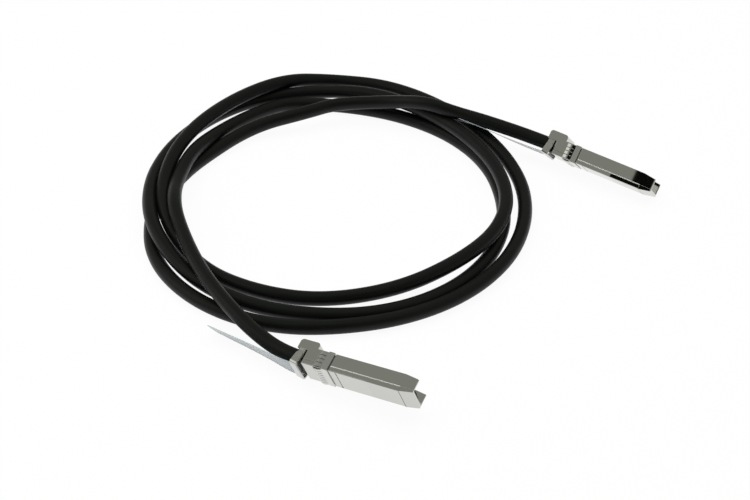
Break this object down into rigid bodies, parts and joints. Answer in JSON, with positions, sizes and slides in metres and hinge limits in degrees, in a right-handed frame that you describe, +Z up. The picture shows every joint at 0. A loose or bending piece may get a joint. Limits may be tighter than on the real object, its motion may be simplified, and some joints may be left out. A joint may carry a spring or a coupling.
{
  "type": "direct attach copper cable",
  "caption": "Short copper cable in a loose coil with a metal pluggable connector at each end, each with a shielding collar, a sliding latch and a translucent pull strap.",
  "frame": {"origin": "middle of the two plugs, at the surface they lie on", "axes": "+Z up from the surface, +X to the right and +Y to the back as the cable lies"},
  "size_m": [0.2572, 0.2674, 0.0227],
  "materials": {
    "die_cast": "bright nickel plate",
    "spring_steel": "bright",
    "steel": "bright",
    "board": "solder mask",
    "gold": "plated",
    "chip": "moulded",
    "wire": "foil wrapped",
    "strap_film": "translucent film",
    "jacket": "smooth matte"
  },
  "bodies": {
    "plugs_and_cable": {"cable_tail_a": "jacket", "cable_coil": "jacket", "cable_tail_b": "jacket", "housing_a": "die_cast", "cover_a": "die_cast", "emi_collar_a": "spring_steel", "paddle_card_a": "board", "contacts_a": "gold", "card_parts_a": "chip", "conductors_a": "wire", "ferrule_a": "steel", "cover_screws_a": "steel", "latch_springs_a": "spring_steel", "housing_b": "die_cast", "cover_b": "die_cast", "emi_collar_b": "spring_steel", "paddle_card_b": "board", "contacts_b": "gold", "card_parts_b": "chip", "conductors_b": "wire", "ferrule_b": "steel", "cover_screws_b": "steel", "latch_springs_b": "spring_steel"},
    "latch_a": {"latch_slide_a": "steel", "pull_yoke_a": "steel", "pull_strap_a": "strap_film"},
    "latch_b": {"latch_slide_b": "steel", "pull_yoke_b": "steel", "pull_strap_b": "strap_film"}
  },
  "joints": [
    {"name": "latch_pull_a", "type": "slide", "parent": "plugs_and_cable", "child": "latch_a", "axis": [-0.8598, 0.4944, -0.1279], "range_m": [0, 0.002], "stiffness_N_per_m": 1500, "springref_m": -0.0005},
    {"name": "latch_pull_b", "type": "slide", "parent": "plugs_and_cable", "child": "latch_b", "axis": [-0.8347, 0.5483, 0.0506], "range_m": [0, 0.002], "stiffness_N_per_m": 1500, "springref_m": -0.0005}
  ]
}
